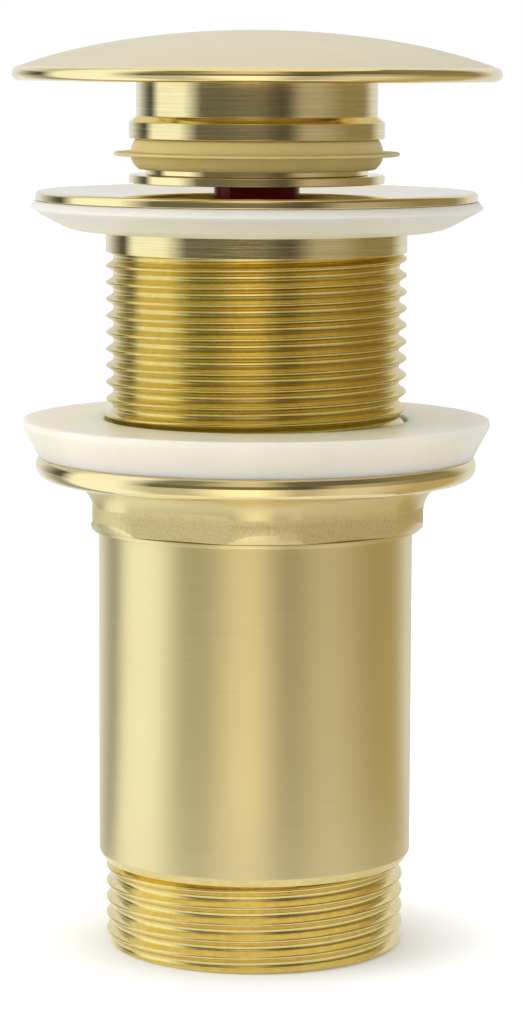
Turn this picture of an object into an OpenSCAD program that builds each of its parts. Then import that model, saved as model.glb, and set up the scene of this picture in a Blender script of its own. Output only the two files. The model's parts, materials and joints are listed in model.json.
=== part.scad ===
// Click-clack basin waste with a domed mushroom plug, standing on its tail outlet.
// Z is the common axis of every turned piece, and the origin is the centre of the outlet's end face.
// The plug is raised (open) and the tail is screwed part of the way up the threaded shank.

/* [Thread] */
// Outside diameter of the G1 1/4 pipe threads on the shank and on the outlet
thread_d = 41.91; // [41.5:0.01:42.3]
// Radial clearance between the shank's thread and the tail's thread
thread_fit = 0.045; // [0.02:0.005:0.08]
// Chamfer on the free end of a thread
thread_chamfer = 0.85; // [0.4:0.05:1.4]
// Distance from one crest to the next
thread_pitch = 2.309; // [2.2:0.001:2.7]
// Depth of the thread from its crests to its roots
thread_depth = 1.05; // [0.8:0.01:1.5]
// Angle of a thread's flank to the radius
thread_flank = 33; // [25:0.5:35]

/* [Tail body] */
// Height of the tail from its outlet to the top of its flange
tail_h = 69.8; // [62:0.1:90]
// Length of the outlet thread
outlet_thread_len = 12.4; // [9:0.1:18]
// Wall of the outlet at the crests of its thread
outlet_wall = 3.355; // [2.405:0.05:5.505]
// Thickness of the ledge between the outlet bore and the wide bore above it
outlet_ledge_t = 2.4; // [1.5:0.1:6]
// Wall of the tail's tube outside its thread
tube_wall = 0.95; // [0.7:0.05:1.6]
// Height of the chamfer at the tube's lower end
tube_chamfer_h = 1.15; // [0.5:0.05:2]
// Depth of that chamfer
tube_chamfer = 0.65; // [0.2:0.05:0.8]
// How far the forged hexagon's flats stand out past the tube
hex_over = 1.35; // [0.8:0.05:2]
// How far the hexagon's turned corners stand out past its flats
hex_corner_over = 1.6; // [1:0.05:3]
// Height of the hexagon with its turned band
hex_h = 6.8; // [5:0.1:12]
// How far the turned band under the hexagon stands out past its flats
hex_band_over = 0.2; // [0.05:0.05:0.5]
// Height of that band
hex_band_h = 0.6; // [0.3:0.05:1.5]
// Height of the cone that cuts the hexagon's lower corners
hex_cone_h = 1.4; // [0.8:0.05:2.4]
// Radius of the cove between the hexagon and the flange
cove_r = 2.2; // [1:0.1:3]
// How far the tail's half-round flange stands out past the waste's flange
tail_flange_over = 0.15; // [0:0.05:1.5]
// Thickness of that flange
tail_flange_t = 3.6; // [2.6:0.1:5]

/* [Washers] */
// Thickness of the conical lower washer
lower_washer_t = 4.7; // [3:0.1:8]
// How far the lower washer's wide top stands out past the tail's flange
lower_washer_over = 1.85; // [0.5:0.05:4]
// How far the lower washer's narrow foot stays inside the edge of the tail's flange
lower_washer_inset = 0.7; // [0.3:0.05:3]
// Height of the upright edge round the lower washer's top
lower_washer_edge = 0.9; // [0.5:0.05:2]
// Rounding of the washers' edges
washer_round = 0.4; // [0.2:0.05:0.45]
// Thickness of the top washer from its flat foot to the waste's flange rim
top_washer_t = 4.25; // [3:0.05:7]
// How far the top washer's shoulder stands out past the waste's flange
top_washer_over = 0.75; // [0.3:0.05:2.5]
// Diameter of the top washer at its flat foot
top_washer_foot_d = 51.6; // [48:0.1:58]
// Height from the top washer's shoulder to the flange rim
top_washer_edge = 1.05; // [0.5:0.05:1.2]
// Radial clearance of both washers on the shank
washer_fit = 0.2; // [0.1:0.05:0.4]
// Open gap between the two washers, where the basin is clamped
clamp_gap = 26.1; // [18:0.1:30]

/* [Waste body] */
// Diameter of the waste's dished flange
flange_d = 61.3; // [56:0.1:66]
// Thickness of the flange at its rim
flange_rim_t = 1.25; // [1.1:0.05:2.5]
// Rounding of the flange's top crest
flange_round = 0.55; // [0.3:0.05:0.6]
// Depth of the dish from the crest to the edge of the bore
dish_depth = 1; // [0.4:0.05:1.6]
// Fall of the flange's underside from its rim to the shank
flange_cone_h = 1.65; // [0.8:0.05:2.2]
// Length of the plain shank between the flange and the thread
shank_plain_h = 5.5; // [2:0.1:10]
// Distance from the shank thread's upper end to its first crest
shank_crest_drop = 1.41; // [0.2:0.01:2]
// Wall of the shank at the crests of its thread
shank_wall = 2.855; // [2.505:0.05:3.105]
// Chamfer at the top edge of the bore
bore_chamfer = 0.25; // [0.1:0.05:0.5]
// Length of the shank below the bridge that holds the cartridge
shank_skirt = 1.5; // [0.5:0.1:3]
// Number of arms on the bridge
bridge_arms = 3; // [3:1:4]
// Width of each bridge arm
bridge_arm_w = 4; // [3:0.1:6]
// Height of the bridge
bridge_h = 6; // [4:0.1:7]
// Diameter of the bridge's hub
bridge_hub_d = 18; // [14:0.1:22]

/* [Plug] */
// Distance that the plug drops from open to closed
plug_travel = 5.6; // [4:0.1:8]
// Further press below the closed height that turns the ratchet
press_over = 1.6; // [1:0.1:2.4]
// How far the collar's upper part stands in from its flanges
collar_step = 1; // [0.7:0.05:2.4]
// Length of the collar's upper part
collar_len = 4.85; // [3:0.05:10]
// Thickness of the upper flange
collar_flange_t = 2.25; // [1.5:0.05:4]
// Height of the bevel on top of the upper flange
collar_bevel_h = 0.8; // [0.4:0.05:1.6]
// Thickness of the lower flange
collar_foot_t = 1.15; // [0.8:0.05:2]
// Depth of the seal's groove between the flanges
groove_depth = 2.3; // [1.7:0.05:3.5]
// Room left above the lower flange by the seal
groove_slack = 0.75; // [0.3:0.05:1]
// Wall of the collar round its hollow inside
collar_wall = 2; // [1.4:0.1:2.4]
// Thickness of the collar's floor
collar_floor_t = 3; // [2.2:0.1:4]
// Diameter of the domed cap
cap_d = 67.7; // [62:0.1:72]
// Thickness of the cap's half-round rim
cap_rim_t = 1.95; // [1.3:0.05:2.6]
// Rise of the dome above the rim
dome_h = 5; // [4:0.1:8]
// Wall of the cap between its dome and its hollow underside
cap_wall = 2.2; // [1.6:0.1:2.8]
// How far the land under the cap stands out past the collar that it meets
cap_land_over = 0.8; // [0.4:0.05:3]
// Wall of the boss under the cap that takes the stud
cap_boss_wall = 2.5; // [1.5:0.1:4]
// Length of the cap's boss below the rim
cap_boss_h = 4; // [2:0.1:5]
// Diameter of the stud from the cap to the plunger
stud_d = 6; // [5:0.1:6.5]
// Depth of the stud in the plunger
stud_depth = 8; // [5:0.1:12]
// Depth of the stud in the cap, above the cap's lower face
stud_cap_depth = 1; // [0.3:0.1:2]
// Width of the stud's jam nut across its flats
jam_nut_af = 10; // [9:0.1:12]
// Thickness of the jam nut
jam_nut_t = 3.2; // [2.4:0.1:3.8]

/* [Plug seal] */
// Radial thickness of the seal's rounded body
seal_t = 2; // [1.4:0.05:2.2]
// How far the seal's thin lip stands out past its body
seal_lip_over = 2.33; // [1.6:0.01:3]
// Thickness of the lip
seal_lip_t = 0.6; // [0.4:0.05:0.9]
// Height of the seal's body below the lip
seal_lower_h = 1.8; // [1.4:0.05:2.6]
// Height of the seal's body from the lip's foot to its top
seal_upper_h = 2.4; // [1.8:0.05:3.2]
// Depth of the bevel round the seal's lower edge
seal_bevel = 0.7; // [0.3:0.05:1]

/* [Plunger] */
// Diameter of the plunger
plunger_d = 11.9; // [10.5:0.1:12.1]
// Width across the plunger's two wrench flats
plunger_af = 9.4; // [8.6:0.1:10.3]
// Height of the wrench flats
plunger_flat_h = 7; // [5:0.1:7.1]
// Section of the O-ring that wipes the plunger
oring_cs = 1.9; // [1.5:0.05:2.1]

/* [Click cartridge] */
// Wall of the cartridge's housing
housing_wall = 1.15; // [0.8:0.05:1.8]
// Outside diameter of the ratchet guide in the housing
guide_d = 18; // [17.4:0.1:18.4]
// Wall of the ratchet guide at its slots
guide_wall = 1.3; // [1:0.05:1.4]
// Width of the cartridge cap across its flats
cartridge_cap_af = 22; // [20.8:0.1:24]
// Height of the cartridge cap's hexagon
cartridge_cap_h = 4; // [3.6:0.1:6]
// Length of the spigot that joins the cap or the base to the housing
spigot_h = 4; // [3:0.1:6]
// Number of slots in the ratchet guide
slot_count = 4; // [3:1:5]
// Width of the rotor's ribs
rib_w = 2.6; // [2:0.1:3]
// Height of the ratchet's teeth
tooth_h = 1.3; // [0.8:0.05:1.6]
// Height of the plunger's lugs
lug_h = 5; // [3.6:0.1:7]
// Height of the rotor
rotor_h = 11; // [9:0.1:14]
// Wall of the rotor round the spring
rotor_wall = 1.25; // [1:0.05:1.5]
// Thickness of the rotor's crown above the spring
rotor_crown_t = 2.6; // [2:0.1:3.4]
// Radial clearance of the return spring in the rotor
spring_fit = 0.4; // [0.2:0.05:0.8]
// Diameter of the spring's wire
wire_d = 1; // [0.7:0.05:1.1]
// Number of turns in the spring
spring_turns = 7; // [5:1:9]
// Thickness of the washer on which the spring turns
spring_seat_t = 0.6; // [0.4:0.05:1]
// Thickness of the shoulder of the cartridge's base
base_shoulder_t = 2; // [1.5:0.1:3]
// Diameter of the threaded stud under the base
base_stud_d = 10; // [8:0.1:11]
// Height of the pin that centres the spring
spring_pin_h = 4; // [2:0.1:7]
// Thickness of the lock washer under the bridge
lock_washer_t = 0.8; // [0.5:0.05:1.2]
// Diameter of the lock washer
lock_washer_d = 17; // [15:0.1:18]
// Width of the lock nut across its flats
lock_nut_af = 16; // [15:0.1:18]
// Thickness of the lock nut
lock_nut_t = 5; // [3.5:0.1:8]

/* [Fits] */
// Radial clearance of the plug's flanges in the bore
plug_fit = 0.4; // [0.3:0.05:0.8]
// Radial clearance of a part that slides
slide_fit = 0.1; // [0.06:0.01:0.15]
// Radial clearance of a part that is fixed in another
seat_fit = 0.05; // [0.02:0.01:0.1]
// Clearance round the ratchet's moving ribs and teeth
ratchet_fit = 0.2; // [0.1:0.02:0.3]
// Gap between a moving part and its stop
stop_gap = 0.25; // [0.1:0.05:0.4]
// Gap left between the closed plug's lip and the flange
lip_gap = 0.05; // [0.02:0.01:0.2]
// Distance that the base's stud stands out of the lock nut
stud_proud = 1; // [0.5:0.1:3]

/* [Hidden] */
$fn = 96;

// A cut runs this far past the face that it opens
over = 1;
// A $fn of six makes a hexagonal prism
hexagon = 6;
// How far the spring's end turns lie flat, from none at 0 to fully flat at 1
end_turn_share = 0.6;

thread_r = thread_d / 2;
tail_bore_r = thread_r + thread_fit;
washer_bore_r = thread_r + washer_fit;
bore_r = thread_r - shank_wall;
outlet_bore_r = thread_r - outlet_wall;
flange_r = flange_d / 2;
tail_flange_r = flange_r + tail_flange_over;
tube_r = tail_bore_r + tube_wall;
hex_flat_r = tube_r + hex_over;
hex_turn_r = hex_flat_r + hex_corner_over;
hex_band_r = hex_flat_r + hex_band_over;

// Heights up the tail
z_hex = tail_h - tail_flange_t - hex_h;
z_hex_cone = z_hex + hex_band_h;
z_tail_flange = tail_h - tail_flange_t;
z_ledge = outlet_thread_len + outlet_ledge_t;

// Heights of the washers and of the waste's flange
z_lower_washer_top = tail_h + lower_washer_t;
z_top_washer = z_lower_washer_top + clamp_gap;
z_rim = z_top_washer + top_washer_t;
z_flange_root = z_rim - flange_cone_h;
z_thread_top = z_flange_root - shank_plain_h;
z_crest = z_rim + flange_rim_t;
crest_r = flange_r - flange_round;
z_dish = z_crest - dish_depth;
dish_slope = dish_depth / (crest_r - bore_r);

// Heights up the plug, which hangs on the height of the lip above the dish
collar_flange_r = bore_r - plug_fit;
collar_r = collar_flange_r - collar_step;
groove_r = collar_flange_r - groove_depth;
seal_r = groove_r + seat_fit + seal_t;
lip_r = seal_r + seal_lip_over;
z_lip = z_dish + dish_slope * (lip_r - bore_r) + lip_gap + plug_travel;
z_seal = z_lip - seal_lower_h;
z_seal_top = z_lip + seal_upper_h;
z_groove = z_seal - groove_slack;
z_collar = z_groove - collar_foot_t;
z_collar_flange = z_seal_top + seat_fit;
z_collar_neck = z_collar_flange + collar_flange_t + collar_bevel_h;
z_cap = z_collar_neck + collar_len;
z_cap_rim_top = z_cap + cap_rim_t;
cap_r = cap_d / 2;
collar_hollow_r = groove_r - collar_wall;
dome_chord_r = cap_r - cap_rim_t / 2;
dome_r = (dome_chord_r * dome_chord_r + dome_h * dome_h) / (2 * dome_h);
z_dome_centre = z_cap_rim_top + dome_h - dome_r;

// Heights down the cartridge
z_cartridge_cap_top = z_collar - plug_travel - press_over - stop_gap;
z_housing_top = z_cartridge_cap_top - cartridge_cap_h;
z_guide_top = z_housing_top - spigot_h;
z_lug_top = z_guide_top - stop_gap;
z_plunger = z_lug_top - lug_h;
z_rotor_top = z_plunger + tooth_h / 2 - seat_fit;
z_rib_top = z_plunger - ratchet_fit;
z_spline = z_rib_top - plug_travel - tooth_h;
z_rotor = z_rotor_top - rotor_h;
z_spring_top = z_rotor_top - tooth_h - rotor_crown_t - spring_seat_t;
z_base_top = z_rotor - plug_travel - press_over - stop_gap;
z_shoulder_top = z_base_top - spigot_h;
z_bridge_top = z_shoulder_top - base_shoulder_t;
z_bridge = z_bridge_top - bridge_h;
z_lock_nut = z_bridge - lock_washer_t - lock_nut_t;
z_shank = z_bridge - shank_skirt;

// Radii across the ratchet
plunger_r = plunger_d / 2;
spline_r = plunger_r + ratchet_fit;
guide_r = guide_d / 2;
slot_r = guide_r - guide_wall;
rib_r = slot_r - ratchet_fit;
housing_r = guide_r + seat_fit + housing_wall;
rotor_bore_r = plunger_r - rotor_wall;
spring_r = rotor_bore_r - spring_fit;
tooth_count = 2 * slot_count;
tooth_pitch = 360 / tooth_count;

// Corner radius of a hexagon from its width across the flats
function hex_corner_r(af) = af / 2 / cos(30);

// A tube between two heights
module tube(r_out, r_in, z, h) {
    translate([0, 0, z])
        difference() {
            cylinder(r = r_out, h = h);
            translate([0, 0, -over])
                cylinder(r = r_in, h = h + 2 * over);
        }
}

// The half outline of a threaded end, with a chamfer at its foot
module thread_end(z_low, z_high) {
    polygon([
        [0, z_low], [thread_r - thread_chamfer, z_low], [thread_r, z_low + thread_chamfer],
        [thread_r, z_high], [0, z_high]
    ]);
}

// The half outline of the shank's thread, whose crests are rings
module thread_rings() {
    root_r = thread_r - thread_depth;
    flank_h = thread_depth * tan(thread_flank);
    half_land = (thread_pitch / 2 - flank_h) / 2;
    last = ceil((z_thread_top - z_shank) / thread_pitch);
    z_low = z_shank - 3 * thread_pitch;
    polygon([
        [0, z_low], [0, z_flange_root], [root_r, z_flange_root],
        for (i = [0 : last])
            let (z = z_thread_top - shank_crest_drop - i * thread_pitch)
                each [
                    [root_r, z + half_land + flank_h], [thread_r, z + half_land],
                    [thread_r, z - half_land], [root_r, z - half_land - flank_h]
                ],
        [root_r, z_low]
    ]);
}

// A hexagonal nut with both ends chamfered
module nut(af, r_in, z, h) {
    corner = hex_corner_r(af);
    bevel = (corner - af / 2) * tan(30);
    intersection() {
        translate([0, 0, z])
            rotate([0, 0, 30])
                cylinder(r = corner, h = h, $fn = hexagon);
        rotate_extrude()
            polygon([
                [r_in, z], [af / 2, z], [corner, z + bevel],
                [corner, z + h - bevel], [af / 2, z + h], [r_in, z + h]
            ]);
    }
}

// Wedges with their edges along radii, which cut the teeth in an end face.
// They still overlap at radius r, so that no sliver of the end face is left there.
module wedges(r, reach, z, h, turn) {
    half = r * sin(tooth_pitch / 2) + seat_fit;
    for (i = [0 : tooth_count - 1])
        rotate([0, 0, turn + i * tooth_pitch])
            translate([0, 0, z])
                rotate([90, 0, 90])
                    linear_extrude(reach + over)
                        polygon([[-half, -over], [half, -over], [half, 0], [0, h], [-half, 0]]);
}

// Ramps that rise one way round the ring, which cut the guide's latching teeth
module ramps(r, z, h, turn) {
    run = 2 * r * sin(tooth_pitch / 2);
    for (i = [0 : tooth_count - 1])
        rotate([0, 0, turn + i * tooth_pitch])
            translate([0, 0, z])
                rotate([90, 0, 90])
                    linear_extrude(r + over)
                        polygon([[0, -over], [run, -over], [run, 0], [0, h]]);
}

// Bars along radii, one for each slot of the guide
module spokes(w, r, z, h) {
    for (i = [0 : slot_count - 1])
        rotate([0, 0, i * 360 / slot_count])
            translate([0, -w / 2, z])
                cube([r, w, h]);
}

module tail_body() {
    color([0.83, 0.74, 0.47])
        difference() {
            union() {
                rotate_extrude() {
                    thread_end(0, outlet_thread_len);
                    polygon([
                        [0, outlet_thread_len], [tube_r - tube_chamfer, outlet_thread_len],
                        [tube_r, outlet_thread_len + tube_chamfer_h], [tube_r, z_tail_flange],
                        [0, z_tail_flange]
                    ]);
                }
                tail_hexagon();
                tail_flange();
            }
            translate([0, 0, -over])
                cylinder(r = outlet_bore_r, h = tail_h);
            translate([0, 0, z_ledge])
                cylinder(r = tail_bore_r, h = tail_h);
            translate([0, 0, tail_h - thread_chamfer])
                cylinder(r1 = tail_bore_r, r2 = tail_bore_r + thread_chamfer, h = thread_chamfer);
        }
}

// The forged hexagon, its corners turned and coned, with the band and the cove round it
module tail_hexagon() {
    intersection() {
        translate([0, 0, z_hex])
            rotate([0, 0, 30])
                cylinder(r = hex_corner_r(2 * hex_flat_r), h = hex_h, $fn = hexagon);
        rotate_extrude()
            polygon([
                [0, z_hex], [hex_band_r, z_hex], [hex_band_r, z_hex_cone],
                [hex_turn_r, z_hex_cone + hex_cone_h],
                [hex_turn_r, z_tail_flange], [0, z_tail_flange]
            ]);
    }
    translate([0, 0, z_hex])
        cylinder(r = hex_band_r, h = hex_band_h);
    rotate_extrude()
        difference() {
            translate([0, z_tail_flange - cove_r])
                square([hex_flat_r + cove_r, cove_r]);
            translate([hex_flat_r + cove_r, z_tail_flange - cove_r])
                circle(r = cove_r);
        }
}

module tail_flange() {
    edge_r = tail_flange_t / 2;
    rotate_extrude() {
        translate([0, z_tail_flange])
            square([tail_flange_r - edge_r, tail_flange_t]);
        translate([tail_flange_r - edge_r, z_tail_flange + edge_r])
            intersection() {
                circle(r = edge_r);
                translate([0, -edge_r])
                    square([edge_r, tail_flange_t]);
            }
    }
}

module lower_washer() {
    top_r = tail_flange_r + lower_washer_over;
    color([0.93, 0.91, 0.86])
        rotate_extrude() {
            polygon([
                [washer_bore_r, tail_h], [tail_flange_r - lower_washer_inset, tail_h],
                [top_r, z_lower_washer_top - lower_washer_edge],
                [top_r, z_lower_washer_top - washer_round],
                [top_r - washer_round, z_lower_washer_top - washer_round],
                [top_r - washer_round, z_lower_washer_top], [washer_bore_r, z_lower_washer_top]
            ]);
            translate([top_r - washer_round, z_lower_washer_top - washer_round])
                intersection() {
                    circle(r = washer_round);
                    square(washer_round);
                }
        }
}

module top_washer() {
    top_r = flange_r + top_washer_over;
    slope = flange_cone_h / (flange_r - thread_r);
    z_shoulder = z_rim - top_washer_edge;
    color([0.93, 0.91, 0.86])
        rotate_extrude()
            polygon([
                [washer_bore_r, z_top_washer], [top_washer_foot_d / 2, z_top_washer],
                [top_r, z_shoulder], [top_r, z_shoulder + washer_round / 2],
                [flange_r, z_rim - seat_fit],
                [washer_bore_r, z_rim - seat_fit - slope * (flange_r - washer_bore_r)]
            ]);
}

module waste_body() {
    color([0.90, 0.81, 0.52])
        difference() {
            rotate_extrude() {
                intersection() {
                    thread_end(z_shank, z_thread_top);
                    thread_rings();
                }
                polygon([
                    [0, z_thread_top], [thread_r, z_thread_top], [thread_r, z_flange_root],
                    [flange_r, z_rim], [flange_r, z_crest - flange_round],
                    [crest_r, z_crest - flange_round], [crest_r, z_crest],
                    [bore_r, z_dish], [0, z_dish]
                ]);
                translate([crest_r, z_crest - flange_round])
                    intersection() {
                        circle(r = flange_round);
                        square(flange_round);
                    }
            }
            translate([0, 0, z_bridge_top])
                cylinder(r = bore_r, h = z_crest);
            translate([0, 0, z_dish - bore_chamfer])
                cylinder(r1 = bore_r, r2 = bore_r + bore_chamfer + over, h = bore_chamfer + over);
            translate([0, 0, z_shank - over])
                cylinder(r = bore_r, h = shank_skirt + over);
            bridge_windows();
        }
}

// The windows between the bridge's arms, through which the water falls
module bridge_windows() {
    difference() {
        translate([0, 0, z_bridge - over])
            cylinder(r = bore_r, h = bridge_h + 2 * over);
        cylinder(r = bridge_hub_d / 2, h = z_crest);
        for (i = [0 : bridge_arms - 1])
            rotate([0, 0, 180 + i * 360 / bridge_arms])
                translate([0, -bridge_arm_w / 2, 0])
                    cube([bore_r + over, bridge_arm_w, z_crest]);
    }
    translate([0, 0, z_bridge - over])
        cylinder(r = base_stud_d / 2 + slide_fit, h = bridge_h + 2 * over);
}

module lock_nut() {
    color([0.80, 0.68, 0.38])
        nut(lock_nut_af, base_stud_d / 2 + seat_fit, z_lock_nut, lock_nut_t);
}

module lock_washer() {
    color([0.75, 0.76, 0.78])
        tube(lock_washer_d / 2, base_stud_d / 2 + slide_fit, z_lock_nut + lock_nut_t, lock_washer_t);
}

module cartridge_base() {
    pin_r = spring_r - wire_d - ratchet_fit;
    color([0.80, 0.68, 0.38]) {
        translate([0, 0, z_lock_nut - stud_proud])
            cylinder(r = base_stud_d / 2, h = z_bridge_top - z_lock_nut + stud_proud);
        translate([0, 0, z_bridge_top])
            cylinder(r = housing_r, h = base_shoulder_t);
        translate([0, 0, z_shoulder_top])
            cylinder(r = guide_r, h = spigot_h);
        translate([0, 0, z_base_top])
            cylinder(r = pin_r, h = spring_pin_h);
    }
}

module cartridge_housing() {
    color([0.86, 0.75, 0.45])
        tube(housing_r, guide_r + seat_fit, z_shoulder_top, z_housing_top - z_shoulder_top);
}

module cartridge_cap() {
    corner = hex_corner_r(cartridge_cap_af);
    bevel = (corner - cartridge_cap_af / 2) * tan(30);
    groove_h = oring_cs + 2 * seat_fit;
    groove_r = plunger_r + seat_fit + oring_cs + seat_fit;
    color([0.86, 0.75, 0.45])
        difference() {
            union() {
                intersection() {
                    translate([0, 0, z_housing_top])
                        rotate([0, 0, 30])
                            cylinder(r = corner, h = cartridge_cap_h, $fn = hexagon);
                    rotate_extrude()
                        polygon([
                            [0, z_housing_top], [corner, z_housing_top],
                            [corner, z_cartridge_cap_top - bevel],
                            [cartridge_cap_af / 2, z_cartridge_cap_top], [0, z_cartridge_cap_top]
                        ]);
                }
                translate([0, 0, z_guide_top])
                    cylinder(r = guide_r, h = spigot_h);
            }
            translate([0, 0, z_guide_top - over])
                cylinder(r = plunger_r + slide_fit, h = spigot_h + cartridge_cap_h + 2 * over);
            translate([0, 0, z_housing_top])
                cylinder(r = groove_r, h = groove_h);
        }
}

module plunger_oring() {
    section_r = oring_cs / 2;
    color([0.12, 0.12, 0.12])
        translate([0, 0, z_housing_top + seat_fit + section_r])
            rotate_extrude()
                translate([plunger_r + seat_fit + section_r, 0])
                    circle(r = section_r);
}

// The guide's slots carry the lugs and the ribs, and its latching teeth hold the rotor when closed
module ratchet_guide() {
    slot_w = rib_w + 2 * ratchet_fit;
    color([0.95, 0.95, 0.93]) {
        tube(guide_r, slot_r, z_base_top, z_guide_top - z_base_top);
        difference() {
            tube(slot_r + seat_fit, spline_r, z_spline, z_guide_top - z_spline);
            spokes(slot_w, slot_r, z_spline - over, z_guide_top - z_spline + 2 * over);
            ramps(slot_r, z_spline, tooth_h, tooth_pitch / 4);
        }
    }
}

module ratchet_rotor() {
    rotor_r = plunger_r;
    color([0.95, 0.95, 0.93])
        difference() {
            union() {
                translate([0, 0, z_rotor])
                    cylinder(r = rotor_r, h = rotor_h);
                intersection() {
                    spokes(rib_w, rib_r + over, z_rotor, z_rib_top - z_rotor);
                    translate([0, 0, z_rotor])
                        cylinder(r = rib_r, h = rotor_h);
                }
            }
            translate([0, 0, z_rotor - over])
                cylinder(r = rotor_bore_r, h = z_spring_top + spring_seat_t - z_rotor + over);
            translate([0, 0, z_rotor_top])
                mirror([0, 0, 1])
                    wedges(rotor_r, rotor_r, 0, tooth_h, tooth_pitch / 4);
            rib_ramps();
        }
}

// The slope on top of each rib, which slides along the guide's latching teeth
module rib_ramps() {
    side = rib_w / 2;
    out = side + over;
    for (i = [0 : slot_count - 1])
        rotate([0, 0, i * 360 / slot_count])
            translate([plunger_r, 0, z_rib_top])
                rotate([90, 0, 90])
                    linear_extrude(slot_r)
                        polygon([[-out, over], [out, over], [out, -tooth_h], [-side, 0], [-out, 0]]);
}

module spring_seat() {
    color([0.75, 0.76, 0.78])
        tube(rotor_bore_r - slide_fit, spring_r - wire_d - slide_fit, z_spring_top, spring_seat_t);
}

// The spring is a round wire swept along a helix, with both ends closed flat on the next turn
module return_spring() {
    wire_sides = 8;
    turn_steps = 18;
    rings = spring_turns * turn_steps;
    coil_r = spring_r - wire_d / 2;
    z_low = z_base_top + wire_d / 2;
    climb = z_spring_top - z_base_top - wire_d;
    points = [
        for (i = [0 : rings])
            for (j = [0 : wire_sides - 1])
                let (turn = i * 360 / turn_steps, side = j * 360 / wire_sides)
                    let (r = coil_r + wire_d / 2 * cos(side), z = z_low + climb * ease(i / rings))
                        [r * cos(turn), r * sin(turn), z + wire_d / 2 * sin(side)]
    ];
    faces = concat(
        [[for (j = [0 : wire_sides - 1]) j]],
        [
            for (i = [0 : rings - 1])
                for (j = [0 : wire_sides - 1])
                    let (k = (j + 1) % wire_sides, a = i * wire_sides, b = (i + 1) * wire_sides)
                        [a + j, b + j, b + k, a + k]
        ],
        [[for (j = [wire_sides - 1 : -1 : 0]) rings * wire_sides + j]]
    );
    color([0.72, 0.74, 0.76])
        polyhedron(points, faces, convexity = 10);
}

// Share of the spring's height at a share of its wire: the first and last turns climb slowly
function ease(t) = t - end_turn_share * sin(360 * t) / (2 * PI);

// A round rod with two wrench flats, lugs that ride in the guide's slots and a crown of teeth
module plunger() {
    color([0.45, 0.02, 0.03])
        difference() {
            union() {
                translate([0, 0, z_plunger])
                    cylinder(r = plunger_r, h = z_collar - z_plunger);
                intersection() {
                    spokes(rib_w, rib_r + over, z_plunger, lug_h);
                    translate([0, 0, z_plunger])
                        cylinder(r = rib_r, h = lug_h);
                }
            }
            wedges(plunger_r, rib_r, z_plunger, tooth_h, 0);
            for (side = [-1, 1])
                translate([0, side * (plunger_af / 2 + plunger_r), z_collar - plunger_flat_h / 2])
                    cube([plunger_d, plunger_d, plunger_flat_h], center = true);
            translate([0, 0, z_collar - stud_depth])
                cylinder(r = stud_d / 2 + seat_fit, h = stud_depth + over);
        }
}

module plug_stud() {
    color([0.78, 0.78, 0.76])
        translate([0, 0, z_collar - stud_depth + seat_fit])
            cylinder(r = stud_d / 2, h = z_cap + stud_cap_depth - z_collar + stud_depth - 2 * seat_fit);
}

module jam_nut() {
    color([0.78, 0.78, 0.76])
        nut(jam_nut_af, stud_d / 2 + seat_fit, z_collar + collar_floor_t, jam_nut_t);
}

// A turned cup whose two flanges hold the seal between them
module plug_collar() {
    color([0.93, 0.84, 0.55])
        difference() {
            rotate_extrude()
                polygon([
                    [0, z_collar], [collar_flange_r, z_collar], [collar_flange_r, z_groove],
                    [groove_r, z_groove], [groove_r, z_collar_flange],
                    [collar_flange_r, z_collar_flange],
                    [collar_flange_r, z_collar_neck - collar_bevel_h], [collar_r, z_collar_neck],
                    [collar_r, z_cap], [0, z_cap]
                ]);
            translate([0, 0, z_collar + collar_floor_t])
                cylinder(r = collar_hollow_r, h = z_cap);
            translate([0, 0, z_collar - over])
                cylinder(r = stud_d / 2 + slide_fit, h = z_cap);
        }
}

module plug_seal() {
    foot_r = groove_r + seat_fit;
    lip_top = z_lip + seal_lip_t;
    color([0.78, 0.67, 0.42])
        rotate_extrude()
            polygon([
                [foot_r, z_seal], [seal_r - seal_bevel, z_seal], [seal_r, z_lip - washer_round / 2],
                [seal_r, z_lip], [lip_r, z_lip], [lip_r, lip_top], [seal_r, lip_top],
                [seal_r, z_seal_top - washer_round], [seal_r - washer_round / 2, z_seal_top],
                [foot_r, z_seal_top]
            ]);
}

// A domed shell with a half-round rim, a ring that lands on the collar and a boss for the stud
module plug_cap() {
    color([0.87, 0.83, 0.72])
        difference() {
            union() {
                difference() {
                    cap_outside();
                    intersection() {
                        translate([0, 0, z_dome_centre])
                            sphere(r = dome_r - cap_wall);
                        translate([0, 0, z_cap - over])
                            cylinder(r = cap_r - cap_rim_t, h = dome_h + cap_rim_t + over);
                    }
                }
                intersection() {
                    union() {
                        tube(collar_r + cap_land_over, collar_hollow_r, z_cap, dome_h);
                        translate([0, 0, z_cap - cap_boss_h])
                            cylinder(r = stud_d / 2 + cap_boss_wall, h = cap_boss_h + dome_h);
                    }
                    translate([0, 0, z_dome_centre])
                        sphere(r = dome_r - cap_wall / 2);
                }
            }
            translate([0, 0, z_cap - cap_boss_h - over])
                cylinder(r = stud_d / 2 + seat_fit, h = cap_boss_h + over + stud_cap_depth);
        }
}

module cap_outside() {
    edge_r = cap_rim_t / 2;
    intersection() {
        translate([0, 0, z_dome_centre])
            sphere(r = dome_r);
        translate([0, 0, z_cap + edge_r])
            cylinder(r = cap_r - edge_r, h = dome_h + cap_rim_t);
    }
    translate([0, 0, z_cap])
        cylinder(r = cap_r - edge_r, h = cap_rim_t);
    rotate_extrude()
        translate([cap_r - edge_r, z_cap + edge_r])
            intersection() {
                circle(r = edge_r);
                translate([0, -edge_r])
                    square([edge_r, cap_rim_t]);
            }
}

tail_body();
lower_washer();
top_washer();
waste_body();
lock_nut();
lock_washer();
cartridge_base();
cartridge_housing();
cartridge_cap();
plunger_oring();
ratchet_guide();
ratchet_rotor();
spring_seat();
return_spring();
plunger();
plug_stud();
jam_nut();
plug_collar();
plug_seal();
plug_cap();
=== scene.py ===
import json
import math

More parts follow.
